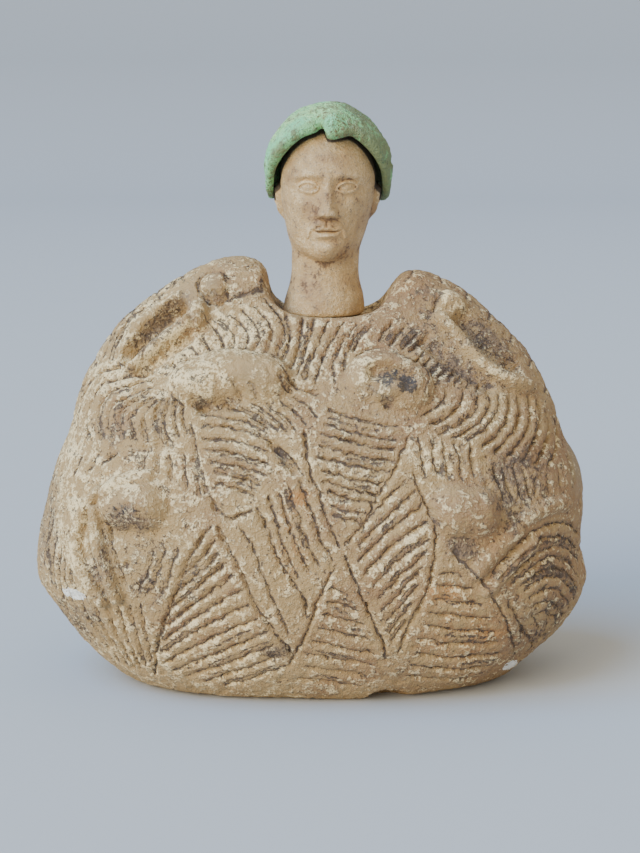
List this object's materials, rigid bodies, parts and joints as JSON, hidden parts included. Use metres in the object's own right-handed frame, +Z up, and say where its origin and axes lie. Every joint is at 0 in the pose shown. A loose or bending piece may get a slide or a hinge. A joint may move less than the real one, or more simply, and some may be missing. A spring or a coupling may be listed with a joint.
{
  "type": "stone idol",
  "caption": "Seated composite stone idol: broad body carved in low relief, a separate head standing in its neck seat and a separate green hair cap resting on the head.",
  "frame": {"origin": "on the flat underside of the body, at the middle of its width and at the neck's depth centre", "axes": "+Z up from the underside to the hair cap, the face looks along -Y, +X to the right as seen from the front"},
  "size_m": [0.1203, 0.0622, 0.1246],
  "materials": {
    "body_stone": "weathered, tan with cream crust and brown in the grooves",
    "head_stone": "smooth, fine-grained cream stone with brown in the recesses",
    "hair_stone": "pale green stone, pitted, with cream spots"
  },
  "bodies": {
    "root": {"body": "body_stone", "head": "head_stone", "hair_cap": "hair_stone"}
  },
  "joints": []
}
